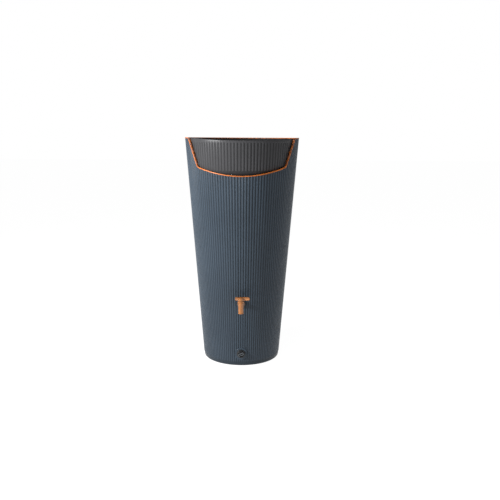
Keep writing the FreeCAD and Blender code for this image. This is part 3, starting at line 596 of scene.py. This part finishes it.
def make_edge_strip():
    """A rounded channel swept once round the edge: along the cut-out, then round the back of the rim."""
    above = 1.2 * MM
    width = 3.5 * MM
    mid_off = (width - above) / 2
    thick = (crest(HEIGHT) + 0.8 * MM) - (inner(HEIGHT) - 1.2 * MM)

    def wall_middle(z):
        return (crest(z) + 0.8 * MM + inner(z) - 1.2 * MM) / 2

    path = []
    rim_z = HEIGHT - width / 2 - above / 2
    corner = 8 * MM
    points = cutout_outline(mid_off)
    x, z = points[-1]
    top_x = x + SIDE_SPREAD * (rim_z - z)
    front = list(points)
    side_steps = 12
    run = rim_z - corner - z
    for step in range(1, side_steps + 1):
        front.append((x + SIDE_SPREAD * run * step / side_steps, z + run * step / side_steps))
    for px, pz in front:
        path.append((px, -math.sqrt(wall_middle(pz) ** 2 - px ** 2), pz))
    radius = wall_middle(rim_z)
    start = math.asin(top_x / radius) + corner * 0.9 / radius
    corner_low = Vector(path[-1])
    corner_tip = Vector((top_x, -math.sqrt(radius ** 2 - top_x ** 2), rim_z))
    corner_end = Vector((radius * math.sin(start), -radius * math.cos(start), rim_z))
    for step in range(1, 6):
        t = step / 6
        path.append(tuple((1 - t) ** 2 * corner_low + 2 * t * (1 - t) * corner_tip + t ** 2 * corner_end))
    back_steps = 60
    for step in range(back_steps + 1):
        angle = start + (math.pi - start) * step / back_steps
        path.append((radius * math.sin(angle), -radius * math.cos(angle), rim_z))
    left = [(-px, py, pz) for px, py, pz in reversed(path[1:-1])]
    path = path + left

    curve = bpy.data.curves.new("edge_strip", "CURVE")
    curve.dimensions = "3D"
    curve.twist_mode = "Z_UP"
    spline = curve.splines.new("POLY")
    spline.points.add(len(path) - 1)
    for point, place in zip(spline.points, path):
        point.co = (*place, 1)
    spline.use_cyclic_u = True

    profile = bpy.data.curves.new("strip_profile", "CURVE")
    profile.dimensions = "2D"
    outline = []
    half, tall, leg_out, leg_in = thick / 2, (width + above) / 2, 3.7 * MM, 1.2 * MM
    bead = 1.1 * MM
    for cx, cy, begin in ((half - bead, tall - bead, 0), (-half + bead, tall - bead, 90)):
        outline += arc_points((cx, cy), bead, begin, begin + 90, 4)
    outline += [(-half, -tall), (-half + leg_in, -tall), (-half + leg_in, tall - above)]
    outline += [(half - leg_out, tall - above), (half - leg_out, -tall)]
    outline += arc_points((half - bead, -tall + bead), bead, -90, 0, 4)
    ring = profile.splines.new("POLY")
    ring.points.add(len(outline) - 1)
    for point, place in zip(ring.points, outline):
        point.co = (*place, 0, 1)
    ring.use_cyclic_u = True
    shape = bpy.data.objects.new("strip_profile", profile)
    bpy.context.collection.objects.link(shape)
    curve.bevel_mode = "OBJECT"
    curve.bevel_object = shape
    strip = bpy.data.objects.new("edge_strip", curve)
    bpy.context.collection.objects.link(strip)
    pick(strip)
    bpy.ops.object.convert(target="MESH")
    strip = bpy.context.object
    bpy.data.objects.remove(shape, do_unlink=True)
    edit(strip)
    bpy.ops.mesh.remove_doubles(threshold=1e-6)
    bpy.ops.mesh.normals_make_consistent(inside=False)
    done()
    smooth(strip, 40)
    return settle(strip, "barrel", "copper_strip", STRIP_COPPER, "edge_trim")


# ------------------------------------------------------------------ planting bowl


def dip_height(x):
    """Height of the bowl's rim at a sideways distance: a hanging arc at the front, level beyond it."""
    sag = BOWL_TOP - DIP_LOW
    radius = (DIP_HALF_WIDTH ** 2 + sag ** 2) / (2 * sag)
    if abs(x) >= DIP_HALF_WIDTH:
        return BOWL_TOP
    return DIP_LOW + radius - math.sqrt(radius ** 2 - x ** 2)


def make_bowl():
    columns = BOWL_RIBS * len(Tower.GROOVE)
    edge = 30 * MM
    boss = BOWL_BOTTOM - 8 * MM
    wide = bowl_crest(BOWL_BOTTOM) * (1 - BOWL_RIB_SHARE)
    tower = Tower("planting_bowl", columns, 17.5 * MM, boss)
    tower.along([
        (18 * MM, boss + 0.5 * MM), (18 * MM, BOWL_BOTTOM - 1 * MM), (19 * MM, BOWL_BOTTOM),
        (wide - edge, BOWL_BOTTOM + 0.01 * MM),
    ])
    for step in range(1, 13):
        angle = math.radians(90 * step / 12)
        z = edge * (1 - math.cos(angle))
        tower.to(wide - edge + edge * math.sin(angle) + SPREAD * BOWL_SCALE * z, BOWL_BOTTOM + z)
    start = BOWL_BOTTOM + edge + 3 * MM
    tower.to(bowl_crest(start), start).flute(BOWL_RIB_SHARE)
    rib_end = BOWL_BAND - 2 * MM
    tower.to(bowl_crest(rib_end), rib_end)
    tower.to(bowl_crest(BOWL_BAND), BOWL_BAND).flute(0.0)
    rim = bowl_crest(BOWL_TOP)
    inside = bowl_inner(BOWL_TOP)
    for step in range(5):
        angle = math.radians(90 * step / 4)
        tower.to(rim - 2 * MM * (1 - math.cos(angle)), BOWL_TOP - 2 * MM * (1 - math.sin(angle)))
    tower.along([
        (inside + 1.2 * MM, BOWL_TOP + 0.001 * MM),
        (inside + 0.35 * MM, BOWL_TOP - 0.35 * MM),
        (inside, BOWL_TOP - 1.2 * MM),
    ])
    floor_top = BOWL_BOTTOM + BOWL_WALL
    corner = edge - BOWL_WALL
    foot = bowl_inner(floor_top)
    for step in range(9):
        angle = math.radians(90 * step / 8)
        z = corner * (1 - math.sin(angle))
        tower.to(foot + SPREAD * BOWL_SCALE * z - corner * (1 - math.cos(angle)), floor_top + z)
    tower.along([(19 * MM, floor_top - 0.001 * MM), (11.05 * MM, floor_top - 0.002 * MM)])
    tower.to(11.05 * MM, boss + 0.001 * MM)
    bowl = tower.finish(closed=True)
    edit(bowl)
    mesh = bmesh.from_edit_mesh(bowl.data)
    for vertex in mesh.verts:
        place = vertex.co
        if place.y < 0 and place.z > BOWL_TOP - 2.1 * MM:
            drop = BOWL_TOP - dip_height(place.x)
            shrink = crest(place.z - drop) / crest(place.z)
            place.x, place.y, place.z = place.x * shrink, place.y * shrink, place.z - drop
    bmesh.update_edit_mesh(bowl.data)
    bpy.ops.mesh.select_all(action="SELECT")
    bpy.ops.mesh.normals_make_consistent(inside=False)
    done()
    smooth(bowl, 40)
    return settle(bowl, "bowl", "bowl_grey", BOWL_GREY, "planter_bowl")


def grip_bar(half_length, width, low, high):
    """A finger bar with rounded edges, to be joined to a plug's cup-shaped head."""
    bar = block("finger_bar", (-half_length, -width / 2, low), (half_length, width / 2, high))
    return soften(bar, 0.8 * MM, 3)


def make_bowl_plug():
    head = BOWL_BOTTOM + BOWL_WALL + 2 * MM
    cup = head + 2 * MM
    plug = turned("bowl_plug", 72, [
        (10 * MM, BOWL_BOTTOM - 10 * MM), (11 * MM, BOWL_BOTTOM - 8 * MM), (11 * MM, head),
        (16 * MM, head), (16 * MM, head + 6 * MM), (13.5 * MM, head + 6 * MM), (13.5 * MM, cup),
    ])
    soften(plug, 0.6 * MM, 2)
    carve(plug, grip_bar(14 * MM, 6 * MM, cup - 0.5 * MM, head + 6 * MM), how="UNION")
    smooth(plug)
    return settle(plug, "bowl_plug", "black_plastic", BLACK_PLASTIC, "bowl_drain_plug")


# ------------------------------------------------------------------ tap

SPOUT_Y = -274 * MM
SEAT = TAP_Z - 14 * MM
NECK_LOW = TAP_Z + 16 * MM
NECK_TOP = NECK_LOW + 6 * MM
RING_TOP = NECK_TOP + 3 * MM
HUB_LOW = RING_TOP + 0.5 * MM
HUB_TOP = TAP_Z + 42 * MM


def make_tap_body():
    mouth = TAP_Z - 38 * MM
    upright = turned("tap_body", 96, [
        (9 * MM, mouth), (12.5 * MM, mouth + 0.001 * MM), (13.5 * MM, mouth + 1 * MM),
        (13.5 * MM, mouth + 4 * MM), (12.6 * MM, mouth + 5 * MM), (13.4 * MM, NECK_LOW - 1 * MM),
        (12.4 * MM, NECK_LOW), (12 * MM, NECK_LOW + 0.001 * MM), (12 * MM, NECK_TOP),
        (9.5 * MM, NECK_TOP + 0.001 * MM), (9.5 * MM, SEAT), (9 * MM, SEAT - 0.001 * MM),
    ], closed=True)
    stand(upright, (0, SPOUT_Y, 0))
    shank = turned("tap_shank", 96, [
        (12.2 * MM, 196 * MM), (13.2 * MM, 197 * MM), (13.2 * MM, 231 * MM), (18.5 * MM, 231.001 * MM),
        (18.5 * MM, 235 * MM), (17.5 * MM, 236 * MM), (12.6 * MM, 236.001 * MM), (11 * MM, 237.6 * MM),
        (11 * MM, 270 * MM),
    ])
    stand(shank, (0, 0, TAP_Z), TO_FRONT)
    carve(upright, shank, how="UNION")
    carve(upright, disc("tap_way", 7 * MM, 190 * MM, 274 * MM, TAP_Z, TO_FRONT))
    bore = turned("plug_bore", 96, [(9.5 * MM, SEAT), (9.5 * MM, NECK_TOP + 1 * MM)])
    carve(upright, stand(bore, (0, SPOUT_Y, 0)))
    soften(upright, 0.5 * MM, 2, 30)
    smooth(upright, 35)
    return settle(upright, "barrel", "copper_tap", TAP_COPPER, "tap_body")


def make_retaining_ring():
    """The collar under the lever, knurled for the fingers."""
    radius = 15.5 * MM
    tower = Tower("tap_ring", 36 * len(Tower.GROOVE), 12.05 * MM, NECK_LOW)
    tower.along([(radius - 0.7 * MM, NECK_LOW + 0.001 * MM), (radius, NECK_LOW + 0.8 * MM)])
    tower.to(radius, NECK_LOW + 1.4 * MM).flute(0.035)
    tower.to(radius, RING_TOP - 1.8 * MM)
    tower.to(radius, RING_TOP - 1.2 * MM).flute(0.0)
    tower.along([
        (radius - 1.2 * MM, RING_TOP), (6.5 * MM, RING_TOP + 0.001 * MM), (6 * MM, RING_TOP - 0.5 * MM),
        (6 * MM, NECK_TOP + 0.3 * MM), (12.05 * MM, NECK_TOP + 0.299 * MM),
    ])
    ring = stand(tower.finish(closed=True), (0, SPOUT_Y, 0))
    smooth(ring, 40)
    return settle(ring, "barrel", "copper_tap", TAP_COPPER, "tap_retaining_ring")


def make_lever():
    low = TAP_Z + 29.5 * MM
    top = low + 15 * MM
    arm = block("tap_lever", (-29 * MM, -4.5 * MM, low), (42 * MM, 4.5 * MM, top))
    pick(arm)
    bpy.ops.object.mode_set(mode="EDIT")
    bpy.ops.mesh.select_mode(type="EDGE")
    mesh = bmesh.from_edit_mesh(arm.data)
    for edge in mesh.edges:
        along = edge.verts[0].co - edge.verts[1].co
        edge.select_set(abs(along.y) > 1 * MM)
    bmesh.update_edit_mesh(arm.data)
    bpy.ops.mesh.bevel(offset=5.5 * MM, segments=8)
    bpy.ops.mesh.select_mode(type="FACE")
    for side in (-1, 1):
        mesh = bmesh.from_edit_mesh(arm.data)
        for face in mesh.faces:
            face.select_set(face.normal.y * side > 0.9)
        bmesh.update_edit_mesh(arm.data)
        bpy.ops.mesh.inset(thickness=2.8 * MM)
        bpy.ops.mesh.inset(thickness=0.8 * MM, depth=-1.2 * MM)
    bpy.ops.mesh.select_mode(type="VERT")
    done()
    hub = turned("lever_hub", 96, [
        (12.7 * MM, HUB_LOW), (13.2 * MM, HUB_LOW + 0.5 * MM), (13.2 * MM, HUB_TOP),
    ])
    carve(arm, hub, how="UNION")
    half = 4.1 * MM
    socket = block("socket", (-half, -half, HUB_LOW - 1 * MM), (half, half, HUB_LOW + 8.5 * MM))
    tools = [socket]
    for radius, start in ((2.1 * MM, 7.5 * MM), (6 * MM, 11 * MM), (9.3 * MM, 16.5 * MM)):
        tools.append(turned("way", 64, [(radius, HUB_LOW + start), (radius, top + 9 * MM)]))
    carve(arm, *tools)
    soften(arm, 0.7 * MM, 3, 40)
    stand(arm, (0, SPOUT_Y, 0))
    smooth(arm, 40)
    return settle(arm, "tap_lever", "copper_tap", TAP_COPPER, "tap_handle")


def make_cap():
    """A shallow dome let into the hub, with a spigot that presses into the hub's recess."""
    rise = 3.5 * MM
    base = 9 * MM
    ball = (base ** 2 + rise ** 2) / (2 * rise)
    corners = [(5.5 * MM, HUB_TOP - 1 * MM), (5.9 * MM, HUB_TOP - 0.6 * MM), (5.9 * MM, HUB_TOP),
               (base - 0.4 * MM, HUB_TOP + 0.001 * MM), (base, HUB_TOP + 0.4 * MM)]
    steps = 12
    widest = math.asin(base / ball)
    for step in range(1, steps):
        angle = widest * 0.97 * (1 - step / steps)
        corners.append((ball * math.sin(angle), HUB_TOP + rise - ball * (1 - math.cos(angle))))
    tower = Tower("tap_cap", 96, *corners[0])
    tower.along(corners[1:])
    tower.to(0.2 * MM, HUB_TOP + rise)
    cap = stand(tower.finish(), (0, SPOUT_Y, 0))
    smooth(cap, 30)
    return settle(cap, "tap_lever", "copper_tap", TAP_COPPER, "handle_cap")


# ------------------------------------------------------------------ drain plug and inlet


def make_drain():
    bush = turned("drain_bush", 96, [
        (11.05 * MM, 180 * MM), (14.95 * MM, 180.001 * MM), (14.95 * MM, 209.5 * MM),
        (21.5 * MM, 209.501 * MM), (21.5 * MM, 212.6 * MM), (20.6 * MM, 213.5 * MM),
        (11.05 * MM, 213.499 * MM),
    ], closed=True)
    soften(bush, 0.5 * MM, 2)
    stand(bush, (0, 0, DRAIN_Z), TO_FRONT)
    smooth(bush)
    settle(bush, "barrel", "black_plastic", BLACK_PLASTIC, "drain_bushing")
    face = 213.5 * MM
    cup = face + 5 * MM
    plug = turned("drain_plug_cap", 96, [
        (10 * MM, 189 * MM), (11 * MM, 190 * MM), (11 * MM, face + 2.8 * MM), (15 * MM, face + 2.801 * MM),
        (15 * MM, face), (17 * MM, face - 0.001 * MM), (17 * MM, face + 8 * MM), (16.2 * MM, face + 9 * MM),
        (14.5 * MM, face + 8.999 * MM), (14.3 * MM, cup),
    ])
    soften(plug, 0.4 * MM, 2)
    carve(plug, grip_bar(14.6 * MM, 14 * MM, cup - 0.5 * MM, face + 9 * MM), how="UNION")
    carve(plug, block("slot", (-10.5 * MM, -3 * MM, cup), (10.5 * MM, 3 * MM, face + 12 * MM)))
    lean = TO_FRONT @ Matrix.Rotation(math.radians(24), 3, "Z")
    stand(plug, (0, 0, DRAIN_Z), lean)
    smooth(plug)
    settle(plug, "drain_closure", "black_plastic", PLUG_PLASTIC, "drain_plug")


def make_inlet():
    face = 277.5 * MM
    spigot = turned("inlet_hose_spigot", 96, [
        (10 * MM, 248 * MM), (16.45 * MM, 248.001 * MM), (16.45 * MM, face), (23 * MM, face + 0.001 * MM),
        (23 * MM, face + 3 * MM), (22 * MM, face + 4 * MM), (13.8 * MM, face + 4.001 * MM),
        (12.5 * MM, face + 5.3 * MM), (12.5 * MM, face + 28 * MM), (11.3 * MM, face + 34 * MM),
        (10 * MM, face + 33.999 * MM),
    ], closed=True)
    soften(spigot, 0.4 * MM, 2, 25)
    stand(spigot, (0, 0, INLET_Z), TO_BACK)
    smooth(spigot)
    settle(spigot, "barrel", "black_plastic", BLACK_PLASTIC, "inlet_spigot")


def refinish_nodes():
    """The small inner pieces keep their CAD shape and get the finishes of their materials."""
    finishes = {
        "tap_plug": WHITE_ACETAL, "handle_screw": STEEL, "tap_locknut": BLACK_PLASTIC,
        "drain_nut": BLACK_PLASTIC, "inlet_nut": BLACK_PLASTIC, "bowl_plug_seal": BLACK_RUBBER,
        "plug_o_rings": BLACK_RUBBER, "tap_outer_washer": BLACK_RUBBER, "tap_inner_washer": BLACK_RUBBER,
        "drain_seal": BLACK_RUBBER, "drain_plug_o_ring": BLACK_RUBBER, "inlet_seal": BLACK_RUBBER,
    }
    for name, finish in finishes.items():
        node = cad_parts[name]
        node.data.materials.clear()
        node.data.materials.append(finish)


# ------------------------------------------------------------------ studio

FLOOR_GLOW = 0.985
FLOOR_SIZE = 60
FRONT_GLOW = 0.02
BACK_GLOW = 0.07
GLOW_EDGES = (0.1, 0.7)

CAMERA_REACH = 3.278
CAMERA_TURN = math.radians(0.7)
CAMERA_YAW = math.radians(0.756)
CAMERA_PITCH = math.radians(90 - 10.085)
CAMERA_ROLL = math.radians(0.3)
CAMERA_LENS = 45.5
SENSOR_WIDTH = 36


def make_floor():
    bpy.ops.object.select_all(action="DESELECT")
    bpy.ops.mesh.primitive_plane_add(size=FLOOR_SIZE)
    floor = bpy.context.object
    floor.name = "floor"
    finish = Finish("floor_white", (0.2, 0.2, 0.2), 0.9, Specular_IOR_Level=0.0)
    finish.set("Emission Color", (1, 1, 1, 1))
    finish.set("Emission Strength", FLOOR_GLOW)
    floor.data.materials.append(finish.material)


def soft_light(name, azimuth, distance, height, aim, width, tall, power):
    """A rectangular softbox; its azimuth is measured from the front towards the viewer's left."""
    turn = math.radians(azimuth)
    place = Vector((-distance * math.sin(turn), -distance * math.cos(turn), height))
    bpy.ops.object.light_add(type="AREA", location=place)
    lamp = bpy.context.object
    lamp.name = name
    lamp.data.shape = "RECTANGLE"
    lamp.data.size = width
    lamp.data.size_y = tall
    lamp.data.energy = power
    lamp.rotation_euler = (Vector((0, 0, aim)) - place).to_track_quat("-Z", "Y").to_euler()


def make_world():
    """A white surround that is bright behind the object and dim in front of it."""
    world = bpy.data.worlds.new("studio")
    bpy.context.scene.world = world
    world.use_nodes = True
    tree = world.node_tree
    background = tree.nodes["Background"]
    background.inputs["Color"].default_value = (1, 1, 1, 1)
    direction = tree.nodes.new("ShaderNodeTexCoord")
    parts = tree.nodes.new("ShaderNodeSeparateXYZ")
    tree.links.new(direction.outputs["Generated"], parts.inputs[0])
    sides = tree.nodes.new("ShaderNodeMapRange")
    for socket, value in zip(list(sides.inputs)[1:5], (*GLOW_EDGES, FRONT_GLOW, BACK_GLOW)):
        socket.default_value = value
    tree.links.new(parts.outputs["Y"], sides.inputs[0])
    path = tree.nodes.new("ShaderNodeLightPath")
    level = tree.nodes.new("ShaderNodeMapRange")
    level.inputs["To Max"].default_value = 1.0
    tree.links.new(path.outputs["Is Camera Ray"], level.inputs["Value"])
    tree.links.new(sides.outputs[0], level.inputs["To Min"])
    tree.links.new(level.outputs[0], background.inputs["Strength"])


def make_studio():
    make_floor()
    make_world()
    soft_light("key", azimuth=56, distance=2.6, height=1.17, aim=1.0, width=0.35, tall=0.1, power=112)
    soft_light("top", azimuth=20, distance=0.55, height=2.7, aim=1.1, width=1.0, tall=0.5, power=24)
    bpy.context.scene.view_settings.view_transform = "Standard"


def make_camera():
    place = (CAMERA_REACH * math.sin(CAMERA_TURN), -CAMERA_REACH * math.cos(CAMERA_TURN), HEIGHT)
    bpy.ops.object.camera_add(location=place)
    camera = bpy.context.object
    camera.data.lens = CAMERA_LENS
    camera.data.sensor_width = SENSOR_WIDTH
    aim = Matrix.Rotation(CAMERA_TURN - CAMERA_YAW, 3, "Z") @ Matrix.Rotation(CAMERA_PITCH, 3, "X")
    camera.rotation_euler = (aim @ Matrix.Rotation(CAMERA_ROLL, 3, "Z")).to_euler()
    bpy.context.scene.camera = camera


make_camera()
make_barrel()
make_edge_strip()
make_bowl()
make_bowl_plug()
make_tap_body()
make_retaining_ring()
make_lever()
make_cap()
make_drain()
make_inlet()
refinish_nodes()
make_studio()
